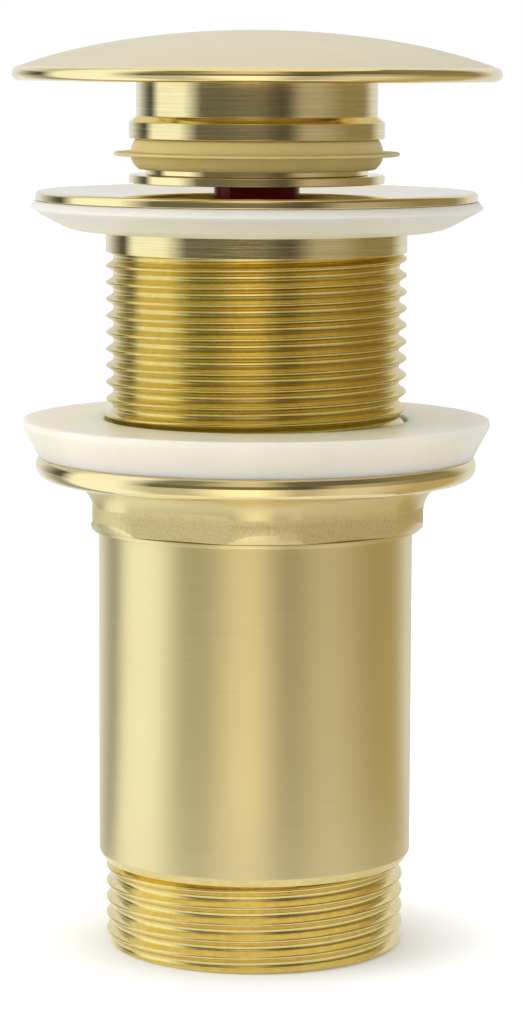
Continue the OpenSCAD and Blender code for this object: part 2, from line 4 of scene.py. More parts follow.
import bmesh
import bpy
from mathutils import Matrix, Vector

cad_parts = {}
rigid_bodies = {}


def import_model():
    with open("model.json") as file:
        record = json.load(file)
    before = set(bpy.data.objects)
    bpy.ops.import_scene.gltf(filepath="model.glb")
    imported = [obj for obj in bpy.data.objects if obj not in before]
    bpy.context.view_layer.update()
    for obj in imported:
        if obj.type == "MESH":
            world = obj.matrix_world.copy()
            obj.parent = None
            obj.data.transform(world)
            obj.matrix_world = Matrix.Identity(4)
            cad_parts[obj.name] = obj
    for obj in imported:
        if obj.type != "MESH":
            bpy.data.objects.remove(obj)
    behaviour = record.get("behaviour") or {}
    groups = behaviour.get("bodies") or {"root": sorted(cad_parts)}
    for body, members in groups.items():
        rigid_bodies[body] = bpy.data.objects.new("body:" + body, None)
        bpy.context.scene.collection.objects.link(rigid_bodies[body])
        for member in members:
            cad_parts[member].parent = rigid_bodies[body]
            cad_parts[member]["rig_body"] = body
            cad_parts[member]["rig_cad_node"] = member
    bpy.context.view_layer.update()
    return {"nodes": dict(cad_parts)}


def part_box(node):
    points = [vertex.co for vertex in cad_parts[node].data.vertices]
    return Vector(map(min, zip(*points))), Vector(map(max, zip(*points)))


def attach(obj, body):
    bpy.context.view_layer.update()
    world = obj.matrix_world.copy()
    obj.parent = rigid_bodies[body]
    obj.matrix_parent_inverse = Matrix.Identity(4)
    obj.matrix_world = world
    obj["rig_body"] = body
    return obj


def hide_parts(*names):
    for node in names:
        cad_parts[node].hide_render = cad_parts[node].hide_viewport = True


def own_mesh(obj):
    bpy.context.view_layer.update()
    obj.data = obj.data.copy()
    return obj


bl_info = {
    "name": "Basin Drain Plug",
    "version": (1, 0, 0),
    "blender": (4, 5, 0),
    "location": "View3D > Sidebar > Drain Plug",
    "description": "Dresses the packed drain plug with turned brass, threads and washers",
    "category": "Object",
}

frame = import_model()

MM = 0.001
TURN_STEPS = 192
THREAD_STEPS = 128

# Sizes in millimetres that several pieces share
THREAD_R = 20.955
FLANGE_EDGE = 1.25
FLANGE_SLOPE = 1.65
BEAD_HALF = 1.8
THREAD_CHAMFER = 0.85
THREAD_SPARE = 0.05


def reach(node):
    """The largest radius, the lowest and the highest point of a CAD node, in millimetres."""
    low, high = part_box(node)
    return high.x / MM, low.z / MM, high.z / MM


# Sizes and colours that a user would change


def length(name, text, default):
    return bpy.props.FloatProperty(
        name=name, description=text, default=default * MM, unit="LENGTH", precision=5
    )


def angle(name, text, degrees):
    return bpy.props.FloatProperty(
        name=name, description=text, default=math.radians(degrees), subtype="ANGLE"
    )


def colour(name, text, default):
    return bpy.props.FloatVectorProperty(
        name=name, description=text, default=default, min=0, max=1, size=3, subtype="COLOR"
    )


class DrainThreadSizes(bpy.types.PropertyGroup):
    pitch: length("Pitch", "Rise of the pipe thread in one turn", 2.309)
    depth: length("Depth", "Depth of the thread from crest to root", 1.05)
    rounding: length("Rounding", "Radius at the crests", 0.26)
    flank: angle("Flank angle", "Angle of each flank to the thread's radius", 33)
    shank_top: length("Shank thread top", "Height at which the shank's thread ends", 97.7)
    shank_crest: length("Shank crest", "Height of a crest at the shank's left side", 95.71)
    outlet_crest: length("Outlet crest", "Height of a crest at the outlet's left side", 8.78)


class DrainFinishes(bpy.types.PropertyGroup):
    polished: colour("Polished brass", "Colour of the polished brass", (0.92, 0.80, 0.46))
    satin: colour("Satin brass", "Colour of the brushed tube", (0.88, 0.77, 0.44))
    dome: colour("Dome brass", "Colour of the cap's dome", (0.85, 0.77, 0.54))
    gold: colour("Outlet brass", "Colour of the outlet's cut thread", (0.90, 0.76, 0.34))
    # Painted shade: the shank's thread is a darker copy of the outlet's brass, for the shade under
    # the flange and the washers
    shank: colour("Shank brass", "Colour of the shank's cut thread", (0.76, 0.62, 0.23))
    forged: colour("Forged brass", "Colour of the blasted forging", (0.90, 0.78, 0.46))
    washer: colour("Washer plastic", "Colour of the translucent washers", (0.88, 0.82, 0.70))
    # Painted light: the washers' warmer tone near the bore stands in for light that the brass throws
    # back onto them
    washer_painted_light: colour("Washer bore", "Colour of the washers near the bore", (1.0, 0.91, 0.66))
    seal: colour("Seal rubber", "Colour of the plug's rubber seal", (0.93, 0.73, 0.31))
    plunger: colour("Plunger plastic", "Colour of the plunger", (0.30, 0.0, 0.0))
    acetal: colour("Ratchet plastic", "Colour of the ratchet's pieces", (0.86, 0.85, 0.80))
    steel: colour("Steel", "Colour of the steel pieces", (0.62, 0.62, 0.60))
    nitrile: colour("O-ring rubber", "Colour of the plunger's O-ring", (0.012, 0.012, 0.013))


class DrainStage(bpy.types.PropertyGroup):
    camera_distance: length("Camera distance", "From the plug's axis to the camera", 503.46)
    camera_height: length("Camera height", "Height of the camera over the floor", 125.35)
    camera_aside: length("Camera aside", "How far right of the axis the camera stands", 0.76)
    camera_pitch: angle("Camera pitch", "How far the camera looks down", 7.26)
    camera_roll: angle("Camera roll", "How far the camera is turned on its own axis", 0.2256)
    focal: bpy.props.FloatProperty(
        name="Focal length", description="Lens for a sensor 36 mm high", default=127.29
    )
    ambient: bpy.props.FloatProperty(
        name="Ambient light", description="Strength of the light from all round", default=0.84
    )
    card_start: length("Card start", "From the axis to the near edge of the studio card", 60)
    card_distance: length("Card distance", "From the axis to where the card bends up", 700)
    card_height: length("Card height", "Height of the standing card", 1300)
    floor: colour("Floor", "Colour of the floor", (0.90, 0.90, 0.89))


# Modelling helpers


def deselect():
    bpy.ops.object.select_all(action="DESELECT")


def activate(piece):
    deselect()
    piece.select_set(True)
    bpy.context.view_layer.objects.active = piece


def select_where(piece, kind, test):
    """In edit mode, selects the vertices, edges or faces whose middle passes the test."""
    mesh = bmesh.from_edit_mesh(piece.data)
    bpy.ops.mesh.select_mode(type=kind)
    bpy.ops.mesh.select_all(action="DESELECT")
    if kind == "VERT":
        chosen = [v for v in mesh.verts if test(v.co)]
    elif kind == "EDGE":
        chosen = [e for e in mesh.edges if test((e.verts[0].co + e.verts[1].co) / 2)]
    else:
        chosen = [f for f in mesh.faces if test(f.calc_center_median())]
    for item in chosen:
        item.select_set(True)
    mesh.select_flush_mode()
    bmesh.update_edit_mesh(piece.data)
    return len(chosen)


def outline(name, points):
    """Draws a line in the XZ plane from points (radius, height[, rounding]) in millimetres."""
    deselect()
    bpy.ops.mesh.primitive_plane_add(size=MM, location=(0, 0, 0))
    piece = bpy.context.object
    piece.name = piece.data.name = name
    bpy.ops.object.mode_set(mode="EDIT")
    bpy.ops.mesh.select_mode(type="VERT")
    bpy.ops.mesh.select_all(action="SELECT")
    bpy.ops.mesh.merge(type="CENTER")
    here = (0.0, 0.0)
    for index, point in enumerate(points):
        step = ((point[0] - here[0]) * MM, 0, (point[1] - here[1]) * MM)
        if index == 0:
            bpy.ops.transform.translate(value=step)
        else:
            bpy.ops.mesh.extrude_region_move(TRANSFORM_OT_translate={"value": step})
        here = (point[0], point[1])
    bpy.ops.mesh.select_all(action="SELECT")
    bpy.ops.mesh.remove_doubles(threshold=1e-7)
    roundings = {}
    for point in points:
        if len(point) > 2:
            roundings.setdefault(point[2], set()).add((round(point[0], 4), round(point[1], 4)))
    for size, corners in roundings.items():
        select_where(
            piece,
            "VERT",
            lambda co: (round(co.x / MM, 4), round(co.z / MM, 4)) in corners,
        )
        bpy.ops.mesh.bevel(offset=size * MM, segments=4, affect="VERTICES", profile=0.5)
    return piece


def turned(name, points, steps=TURN_STEPS, smooth=28):
    """Turns an outline round the Z axis, as on a lathe, into a closed piece."""
    piece = outline(name, points)
    bpy.ops.mesh.select_all(action="SELECT")
    bpy.ops.mesh.spin(steps=steps, angle=math.tau, center=(0, 0, 0), axis=(0, 0, 1))
    bpy.ops.mesh.select_all(action="SELECT")
    bpy.ops.mesh.remove_doubles(threshold=2e-7)
    bpy.ops.mesh.normals_make_consistent(inside=False)
    bpy.ops.object.mode_set(mode="OBJECT")
    smoothed(piece, smooth)
    return piece


def smoothed(piece, degrees):
    """Smooths the shading over edges under the angle, and keeps wide faces flat."""
    activate(piece)
    bpy.ops.object.shade_smooth_by_angle(angle=math.radians(degrees))
    weigh = piece.modifiers.new("Wide faces", "WEIGHTED_NORMAL")
    weigh.keep_sharp = True
    weigh.weight = 90
    bpy.ops.object.modifier_apply(modifier=weigh.name)


def boolean(piece, other, operation):
    """Joins, cuts or keeps what both have, and takes the other piece away."""
    activate(piece)
    modifier = piece.modifiers.new("Boolean", "BOOLEAN")
    modifier.operation = operation
    modifier.solver = "EXACT"
    modifier.object = other
    bpy.ops.object.modifier_apply(modifier=modifier.name)
    bpy.data.objects.remove(other, do_unlink=True)
    if not piece.data.polygons:
        raise RuntimeError(f"nothing is left of {piece.name} after the boolean")
    return piece


def joined(name, pieces):
    """Makes one object of several."""
    deselect()
    for piece in pieces:
        piece.select_set(True)
    bpy.context.view_layer.objects.active = pieces[0]
    bpy.ops.object.join()
    pieces[0].name = pieces[0].data.name = name
    return pieces[0]


def copied(node, name):
    """A copy of a CAD node's solid under a new name, left in edit mode to be worked on."""
    activate(frame["nodes"][node])
    bpy.ops.object.duplicate()
    piece = bpy.context.object
    piece.parent = None
    piece.name = piece.data.name = name
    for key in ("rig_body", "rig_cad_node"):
        if key in piece:
            del piece[key]
    activate(piece)
    bpy.ops.object.mode_set(mode="EDIT")
    bpy.ops.mesh.select_all(action="SELECT")
    bpy.ops.mesh.remove_doubles(threshold=1e-6)
    return piece


def finish(piece, body, slot, *nodes):
    """Ties a finished piece to the frame."""
    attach(piece, body)
    if nodes:
        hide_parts(*nodes)
    return piece


def paint(piece, materials, choose=None):
    """Gives each face the material whose number choose(centre, normal) returns."""
    piece.data.materials.clear()
    for material in materials:
        piece.data.materials.append(material)
    if choose:
        for face in piece.data.polygons:
            face.material_index = choose(face.center / MM, face.normal)


def radius(point):
    return math.hypot(point.x, point.y)


def arc(centre_r, centre_z, size, start, end, count):
    """Points on a circle in the XZ plane, from one angle to another in degrees."""
    made = []
    for i in range(count + 1):
        a = math.radians(start + (end - start) * i / count)
        made.append((centre_r + size * math.cos(a), centre_z + size * math.sin(a)))
    return made


def thread_rod(name, crest_r, low, high, crest_z):
    """A solid rod with a right-hand pipe thread between two heights.
    crest_z is the height of one crest at the rod's left side."""
    sizes = bpy.context.scene.drain_thread
    pitch, depth = sizes.pitch / MM, sizes.depth / MM
    tip, flank = sizes.rounding / MM, math.degrees(sizes.flank)
    # The root's radius is what the crest and the straight flanks leave of the pitch
    lean, fall = math.sin(sizes.flank), math.cos(sizes.flank)
    bed = (fall * pitch / 2 - lean * depth) / (1 - lean) - tip
    crest = arc(crest_r - tip, 0, tip, -(90 - flank), 90 - flank, 4)
    root = arc(crest_r - depth + bed, pitch / 2, bed, 270 - flank, 90 + flank, 6)
    # At the azimuth of the X axis a crest is half a pitch above the one at the left side
    start = crest_z + pitch / 2
    start -= pitch * (math.ceil((start - low) / pitch) + 1)
    turns = math.ceil((high - start) / pitch) + 2
    points = [(r, z + start) for r, z in crest + root]
    points.append((points[0][0], points[0][1] + pitch))
    rod = outline(name, points)
    bpy.ops.object.mode_set(mode="OBJECT")
    activate(rod)
    screw = rod.modifiers.new("Thread", "SCREW")
    screw.axis = "Z"
    screw.angle = math.tau
    screw.screw_offset = sizes.pitch
    screw.iterations = turns
    screw.steps = screw.render_steps = THREAD_STEPS
    bpy.ops.object.modifier_apply(modifier=screw.name)
    bpy.ops.object.mode_set(mode="EDIT")
    bpy.ops.mesh.select_all(action="SELECT")
    bpy.ops.mesh.remove_doubles(threshold=1e-6)
    bpy.ops.mesh.normals_make_consistent(inside=False)
    for height, side in ((low, "inner"), (high, "outer")):
        bpy.ops.mesh.select_all(action="SELECT")
        bpy.ops.mesh.bisect(
            plane_co=(0, 0, height * MM),
            plane_no=(0, 0, 1),
            use_fill=True,
            clear_inner=side == "inner",
            clear_outer=side == "outer",
            threshold=1e-7,
        )
    bpy.ops.mesh.select_all(action="SELECT")
    bpy.ops.mesh.remove_doubles(threshold=1e-7)
    bpy.ops.mesh.normals_make_consistent(inside=False)
    bpy.ops.object.mode_set(mode="OBJECT")
    return rod


# Materials


class Nodes:
    """A material's node tree, with short calls to add and join nodes."""

    def __init__(self, name):
        self.material = bpy.data.materials.new(name)
        self.material.use_nodes = True
        self.tree = self.material.node_tree
        self.tree.nodes.clear()
        self.out = self.add("ShaderNodeOutputMaterial")

    def add(self, kind, inputs=None, **settings):
        node = self.tree.nodes.new(kind)
        for key, value in settings.items():
            setattr(node, key, value)
        for key, value in (inputs or {}).items():
            if isinstance(value, bpy.types.NodeSocket):
                self.tree.links.new(value, node.inputs[key])
            else:
                node.inputs[key].default_value = value
        return node

    def math(self, operation, a, b=0.0, clamp=False):
        node = self.add("ShaderNodeMath", {0: a, 1: b}, operation=operation, use_clamp=clamp)
        return node.outputs[0]

    def blend(self, factor, a, b):
        node = self.add(
            "ShaderNodeMix", {"Factor": factor}, data_type="RGBA", clamp_factor=True
        )
        for socket, value in ((node.inputs[6], a), (node.inputs[7], b)):
            if isinstance(value, bpy.types.NodeSocket):
                self.tree.links.new(value, socket)
            else:
                socket.default_value = (*value[:3], 1)
        return node.outputs[2]

    def place(self):
        return self.add("ShaderNodeTexCoord").outputs["Object"]

    def along(self, across, fine):
        """Coordinates of marks that run round the Z axis: long that way, and fine across it."""
        split = self.add("ShaderNodeSeparateXYZ", {0: self.place()})
        flat = self.add("ShaderNodeCombineXYZ", {"X": split.outputs["X"], "Y": split.outputs["Y"]})
        out = self.add("ShaderNodeVectorMath", {0: flat.outputs[0]}, operation="LENGTH")
        travel = self.math("ADD", split.outputs["Z"], out.outputs["Value"])
        made = self.add(
            "ShaderNodeCombineXYZ",
            {
                "X": self.math("MULTIPLY", split.outputs["X"], across),
                "Y": self.math("MULTIPLY", split.outputs["Y"], across),
                "Z": self.math("MULTIPLY", travel, fine),
            },
        )
        return made.outputs[0]

    def noise(self, vector, scale, detail=2.0, roughness=0.5):
        node = self.add(
            "ShaderNodeTexNoise",
            {"Vector": vector, "Scale": scale, "Detail": detail, "Roughness": roughness},
        )
        return node.outputs["Fac"]

    def ramp(self, value, low, high, to_low=0.0, to_high=1.0):
        node = self.add(
            "ShaderNodeMapRange",
            {"Value": value, "From Min": low, "From Max": high, "To Min": to_low, "To Max": to_high},
        )
        return node.outputs["Result"]

    def bump(self, height, distance, strength=1.0, normal=None):
        inputs = {"Height": height, "Distance": distance, "Strength": strength}
        if normal:
            inputs["Normal"] = normal
        return self.add("ShaderNodeBump", inputs).outputs["Normal"]

    def shader(self, inputs):
        node = self.add("ShaderNodeBsdfPrincipled", inputs)
        self.tree.links.new(node.outputs[0], self.out.inputs["Surface"])
        return self.material


def shade(colour_value, factor):
    return tuple(min(1.0, c * factor) for c in colour_value)


def made_once(build):
    """Keeps the material that a function builds, so that it is built only once."""
    kept = {}

    def call():
        if build.__name__ not in kept:
            kept[build.__name__] = build()
        return kept[build.__name__]

    return call


@made_once
def polished_brass():
    n = Nodes("polished_brass")
    base = bpy.context.scene.drain_finishes.polished
    cloud = n.noise(n.place(), 90, 3)
    fine = n.noise(n.along(120, 9000), 1.0, 2)
    tone = n.blend(n.ramp(cloud, 0.35, 0.7), shade(base, 0.97), shade(base, 1.03))
    rough = n.math("ADD", n.ramp(fine, 0.3, 0.7, 0.05, 0.11), n.ramp(cloud, 0.4, 0.7, 0, 0.02))
    return n.shader(
        {
            "Base Color": tone,
            "Metallic": 1.0,
            "Roughness": rough,
            "Normal": n.bump(fine, 0.0000012, 0.5),
        }
    )


@made_once
def lathe_brass():
    """Polished brass with the broken rings that the lathe tool leaves."""
    n = Nodes("lathe_brass")
    base = bpy.context.scene.drain_finishes.polished
    rings = n.noise(n.along(70, 5200), 1.0, 4, 0.62)
    wide = n.noise(n.along(40, 1500), 1.0, 2)
    cloud = n.noise(n.place(), 70, 3)
    tone = n.blend(n.ramp(rings, 0.4, 0.65), shade(base, 0.86), shade(base, 1.04))
    rough = n.math("ADD", n.ramp(rings, 0.35, 0.7, 0.06, 0.15), n.ramp(cloud, 0.4, 0.7, 0, 0.03))
    low = n.bump(wide, 0.000014, 0.4)
    return n.shader(
        {
            "Base Color": tone,
            "Metallic": 1.0,
            "Roughness": rough,
            "Normal": n.bump(rings, 0.000012, 0.8, low),
        }
    )


def cut_brass(name, base):
    """Brass with the marks of the thread cutter."""
    n = Nodes(name)
    chatter = n.noise(n.place(), 900, 3)
    rings = n.noise(n.along(90, 8000), 1.0, 3)
    tone = n.blend(n.ramp(chatter, 0.35, 0.7), shade(base, 0.93), shade(base, 1.03))
    return n.shader(
        {
            "Base Color": tone,
            "Metallic": 1.0,
            "Roughness": n.ramp(rings, 0.3, 0.7, 0.13, 0.24),
            "Normal": n.bump(rings, 0.000004, 0.5, n.bump(chatter, 0.000006, 0.25)),
        }
    )


@made_once
def thread_brass():
    return cut_brass("thread_brass", bpy.context.scene.drain_finishes.gold)


# Painted shade: a darker copy of the outlet's cut brass, for the shade that the flange and the
# washers cast on the shank
@made_once
def shank_brass_painted_shade():
    return cut_brass("shank_brass_painted_shade", bpy.context.scene.drain_finishes.shank)


@made_once
def satin_brass():
    """The tube's fine brushing, which runs round it."""
    n = Nodes("satin_brass")
    base = bpy.context.scene.drain_finishes.satin
    hair = n.noise(n.along(60, 14000), 1.0, 4, 0.7)
    bands = n.noise(n.along(25, 1400), 1.0, 2)
    cloud = n.noise(n.place(), 45, 3)
    tone = n.blend(n.ramp(hair, 0.35, 0.65), shade(base, 0.95), shade(base, 1.03))
    rough = n.math("ADD", n.ramp(hair, 0.3, 0.7, 0.34, 0.42), n.ramp(cloud, 0.35, 0.7, -0.02, 0.03))
    tangent = n.add("ShaderNodeTangent", direction_type="RADIAL", axis="Z")
    return n.shader(
        {
            "Base Color": tone,
            "Metallic": 1.0,
            "Roughness": rough,
            "Anisotropic": 0.75,
            "Anisotropic Rotation": 0.25,
            "Tangent": tangent.outputs[0],
            "Normal": n.bump(hair, 0.000002, 0.35, n.bump(bands, 0.000004, 0.2)),
        }
    )


@made_once
def dome_brass():
    """The cap's even satin, with a soft grain that has no direction."""
    n = Nodes("dome_brass")
    base = bpy.context.scene.drain_finishes.dome
    grain = n.noise(n.place(), 5200, 3, 0.6)
    cloud = n.noise(n.place(), 60, 3)
    tone = n.blend(n.ramp(cloud, 0.35, 0.7), shade(base, 0.98), shade(base, 1.03))
    return n.shader(
        {
            "Base Color": tone,
            "Metallic": 1.0,
            "Roughness": n.ramp(grain, 0.3, 0.7, 0.33, 0.41),
            "Normal": n.bump(grain, 0.000003, 0.3),
        }
    )


@made_once
def forged_brass():
    """The grained skin that blasting leaves on the forged hexagon. It fades out up the cove."""
    n = Nodes("forged_brass")
    base = bpy.context.scene.drain_finishes.forged
    place = n.place()
    height = n.add("ShaderNodeSeparateXYZ", {0: place}).outputs["Z"]
    edge = n.math("ADD", height, n.math("MULTIPLY", n.noise(place, 420, 2), 0.0030))
    grain_ends, polish_starts = 0.0638, 0.0664
    rough_skin = n.ramp(edge, grain_ends, polish_starts, 1.0, 0.0)
    grain = n.noise(place, 5200, 3, 0.6)
    coarse = n.noise(place, 2300, 2, 0.5)
    waves = n.noise(place, 190, 2)
    pits = n.math("MAXIMUM", n.ramp(grain, 0.36, 0.52), n.ramp(rough_skin, 0.0, 1.0, 1.0, 0.0))
    tone = n.blend(pits, shade(base, 0.84), shade(base, 1.0))
    skin = n.bump(waves, 0.00012, 0.4)
    skin = n.bump(n.math("MULTIPLY", coarse, rough_skin), 0.00007, 0.7, skin)
    return n.shader(
        {
            "Base Color": tone,
            "Metallic": 1.0,
            "Roughness": n.ramp(grain, 0.3, 0.7, 0.60, 0.52),
            "Normal": n.bump(n.math("MULTIPLY", grain, rough_skin), 0.00005, 0.9, skin),
        }
    )


@made_once
def inner_brass():
    """The plain drawn brass of the pieces inside."""
    n = Nodes("inner_brass")
    base = bpy.context.scene.drain_finishes.gold
    rings = n.noise(n.along(60, 4200), 1.0, 3)
    cloud = n.noise(n.place(), 160, 3)
    tone = n.blend(n.ramp(cloud, 0.3, 0.7), shade(base, 0.82), shade(base, 0.98))
    return n.shader(
        {
            "Base Color": tone,
            "Metallic": 1.0,
            "Roughness": n.ramp(rings, 0.3, 0.7, 0.2, 0.34),
            "Normal": n.bump(rings, 0.000008, 0.5),
        }
    )


@made_once
def steel():
    n = Nodes("stainless_steel")
    base = bpy.context.scene.drain_finishes.steel
    grain = n.noise(n.place(), 2600, 3)
    cloud = n.noise(n.place(), 240, 3)
    tone = n.blend(n.ramp(cloud, 0.3, 0.7), shade(base, 0.9), shade(base, 1.05))
    return n.shader(
        {
            "Base Color": tone,
            "Metallic": 1.0,
            "Roughness": n.ramp(grain, 0.3, 0.7, 0.22, 0.34),
            "Normal": n.bump(grain, 0.000004, 0.4),
        }
    )


def plastic(
    name, base, rough, grain_size, depth, glow=0.0, glow_depth=(1, 1, 1), shine=0.5, inner=None
):
    """Moulded plastic or rubber with a fine grain. glow sets how much light goes under its skin, and
    inner is a warmer colour painted near the bore: painted light that stands in for the light the
    brass throws back onto it."""
    n = Nodes(name)
    grain = n.noise(n.place(), grain_size, 3)
    cloud = n.noise(n.place(), 110, 3)
    tone = n.blend(n.ramp(cloud, 0.35, 0.7), shade(base, 0.96), shade(base, 1.03))
    # Painted light: towards the bore the tone warms to the inner colour, standing in for light
    # thrown back by the brass
    if inner:
        away = n.add("ShaderNodeVectorMath", {0: n.place(), 1: (1, 1, 0)}, operation="MULTIPLY")
        away = n.add("ShaderNodeVectorMath", {0: away.outputs[0]}, operation="LENGTH")
        painted_light_to, plain_from = 0.0245, 0.0305
        tone = n.blend(n.ramp(away.outputs["Value"], painted_light_to, plain_from), inner, tone)
    inputs = {
        "Base Color": tone,
        "Roughness": n.ramp(grain, 0.3, 0.7, rough - 0.04, rough + 0.05),
        "Specular IOR Level": shine,
        "Normal": n.bump(grain, depth, 0.35),
    }
    if glow:
        inputs["Subsurface Weight"] = glow
        inputs["Subsurface Radius"] = glow_depth
        inputs["Subsurface Scale"] = 0.004
    return n.shader(inputs)


@made_once
def washer_plastic():
    base = bpy.context.scene.drain_finishes.washer
    inner = bpy.context.scene.drain_finishes.washer_painted_light
    return plastic(
        "washer_plastic", base, 0.34, 900, 0.000002, 0.85, (1.0, 0.82, 0.6), inner=inner
    )


@made_once
def seal_rubber():
    base = bpy.context.scene.drain_finishes.seal
    return plastic("seal_rubber", base, 0.42, 1900, 0.000006, 0.5, (1.0, 0.6, 0.25))


@made_once
def plunger_plastic():
    base = bpy.context.scene.drain_finishes.plunger
    return plastic("plunger_plastic", base, 0.18, 2200, 0.000002, shine=0.16)


@made_once
def ratchet_plastic():
    base = bpy.context.scene.drain_finishes.acetal
    return plastic("ratchet_plastic", base, 0.34, 2200, 0.000003)


@made_once
def oring_rubber():
    base = bpy.context.scene.drain_finishes.nitrile
    return plastic("oring_rubber", base, 0.46, 3000, 0.000003)


# Pieces


def make_cap():
    """A domed cap with a half-round rim, a ring that lands on the collar and a boss for the stud."""
    cap_r, boss_low, top = reach("plug_cap")
    land_r, hollow_r, boss_r, hole_r = 17.5, 13.4, 5.5, 3.05
    boss_h, rim_t, wall, hole_depth = 4.0, 1.95, 2.2, 1.0
    low = boss_low + boss_h
    rim_r = cap_r - rim_t / 2
    rise = top - low - rim_t
    # The dome is a slice of an ellipsoid this wide, which is fuller than a ball
    oval_r = 45.0
    oval_h = rise / (1 - math.sqrt(1 - (rim_r / oval_r) ** 2))

    def outside(r):
        return top - oval_h * (1 - math.sqrt(1 - (r / oval_r) ** 2))

    def inside(r):
        return outside(r) - wall

    shell_r = cap_r - rim_t
    points = [(0, top)]
    points += [(rim_r * i / 30, outside(rim_r * i / 30)) for i in range(1, 30)]
    points += arc(rim_r, low + rim_t / 2, rim_t / 2, 84, -90, 14)
    points += [(shell_r, low, 0.2)]
    points += [(r, inside(r)) for r in (29, 26, 23, 20)]
    points += [(land_r, inside(land_r)), (land_r, low, 0.15), (hollow_r, low, 0.15)]
    points += [(hollow_r, inside(hollow_r)), (9.5, inside(9.5)), (boss_r, inside(boss_r))]
    points += [(boss_r, boss_low, 0.2), (hole_r, boss_low, 0.1), (hole_r, low + hole_depth)]
    points += [(0, low + hole_depth)]
    cap = turned("cap_dome", points)

    def choose(centre_mm, normal):
        r = radius(centre_mm)
        if centre_mm.z > outside(min(r, rim_r)) - 0.6 and r < rim_r - 0.1 and normal.z > 0.5:
            return 0
        return 1 if r > rim_r - 0.2 else 2

    paint(cap, [dome_brass(), polished_brass(), lathe_brass()], choose)
    return finish(cap, "plug", "cap_brass", "plug_cap")


def make_collar():
    """A turned cup with two flanges that hold the seal between them."""
    flange_r, foot, top = reach("plug_collar")
    _, seal_low, seal_top = reach("plug_seal")
    groove_low = seal_low - 0.75
    groove_top = seal_top + 0.05
    neck = groove_top + 2.25
    upper_r, groove_r, hollow_r, hole_r = flange_r - 1.0, flange_r - 2.3, flange_r - 4.3, 3.1
    points = [
        (hole_r, foot),
        (flange_r, foot, 0.12),
        (flange_r, groove_low, 0.1),
        (groove_r, groove_low, 0.15),
        (groove_r, groove_top, 0.15),
        (flange_r, groove_top, 0.12),
        (flange_r, neck, 0.1),
        (upper_r, neck + 0.8, 0.1),
        (upper_r, top, 0.05),
        (hollow_r, top, 0.1),
        (hollow_r, foot + 3.0, 0.3),
        (hole_r, foot + 3.0),
        (hole_r, foot),
    ]
    collar = turned("plug_cup", points)

    def choose(centre_mm, normal):
        if centre_mm.z > neck + 0.75 or abs(normal.z) < 0.3 and centre_mm.z > groove_top:
            return 0
        return 1

    paint(collar, [lathe_brass(), polished_brass()], choose)
    return finish(collar, "plug", "collar_brass", "plug_collar")


def make_seal():
    """A barrel-shaped rubber ring with a thin lip round its middle."""
    lip_r, low, top = reach("plug_seal")
    inner_r = 15.45
    body_r = lip_r - 2.33
    lip_low, lip_top = low + 1.8, low + 2.4
    points = [(inner_r, low), (body_r - 1.0, low, 0.25)]
    points += [(body_r - 0.35, low + 0.75), (body_r - 0.08, low + 1.3), (body_r, lip_low, 0.1)]
    points += [(lip_r, lip_low + 0.1, 0.15), (lip_r, lip_top - 0.05, 0.15), (body_r, lip_top, 0.12)]
    points += [(body_r - 0.06, lip_top + 0.55), (body_r - 0.25, lip_top + 1.15)]
    points += [(body_r - 0.6, top, 0.3), (inner_r, top), (inner_r, low)]
    seal = turned("plug_ring", points, smooth=50)
    paint(seal, [seal_rubber()])
    return finish(seal, "plug", "seal_rubber", "plug_seal")


def make_plunger():
    """The plunger, whose wrench flats show under the plug."""
    rod = copied("plunger", "plunger_rod")
    bpy.ops.mesh.dissolve_limited(angle_limit=math.radians(1))
    bpy.ops.object.mode_set(mode="OBJECT")
    bevel = rod.modifiers.new("Edges", "BEVEL")
    bevel.width = 0.00018
    bevel.segments = 3
    bevel.limit_method = "ANGLE"
    bevel.angle_limit = math.radians(35)
    bpy.ops.object.modifier_apply(modifier=bevel.name)
    smoothed(rod, 30)
    paint(rod, [plunger_plastic()])
    return finish(rod, "plug", "red_plastic", "plunger")


def make_shank():
    """The dished flange and the threaded shank under it, cut from one bar."""
    sizes = bpy.context.scene.drain_thread
    flange_r, low, crest = reach("waste_body")
    split = sizes.shank_top / MM
    rim = crest - FLANGE_EDGE
    bore_r, thread_r = 18.1, THREAD_R
    dish = crest - 1.0
    points = [
        (bore_r, split),
        (thread_r, split, 0.08),
        (thread_r, rim - FLANGE_SLOPE, 0.15),
        (flange_r, rim, 0.12),
        (flange_r, crest - 0.02, 0.5),
        (flange_r - 0.55, crest, 0.04),
        (flange_r - 0.55 - 11.7, dish + 0.03, 0.15),
        (bore_r, dish - 0.25, 0.08),
        (bore_r, split),
    ]
    flange = turned("waste_flange", points)
    rod = thread_rod("shank_thread", thread_r, low - 1, split + 0.01, sizes.shank_crest / MM)
    blank = turned(
        "shank_blank",
        [
            (bore_r, low),
            (thread_r - THREAD_CHAMFER, low),
            (thread_r + THREAD_SPARE, low + 0.9),
            (thread_r + THREAD_SPARE, split),
            (bore_r, split),
            (bore_r, low),
        ],
    )
    thread = boolean(blank, rod, "INTERSECT")
    shank = joined("waste_shank", [flange, thread])
    smoothed(shank, 32)

    def choose(centre_mm, normal):
        r = radius(centre_mm)
        if r < bore_r + 0.3 and centre_mm.z < dish:
            return 3
        if centre_mm.z < split - 0.001 and r > bore_r + 0.3:
            return 2
        if centre_mm.z < rim - 1.0 and r < thread_r + 1:
            return 1
        return 0

    paint(shank, [polished_brass(), lathe_brass(), shank_brass_painted_shade(), inner_brass()], choose)
    return finish(shank, "waste", "body_brass", "waste_body")


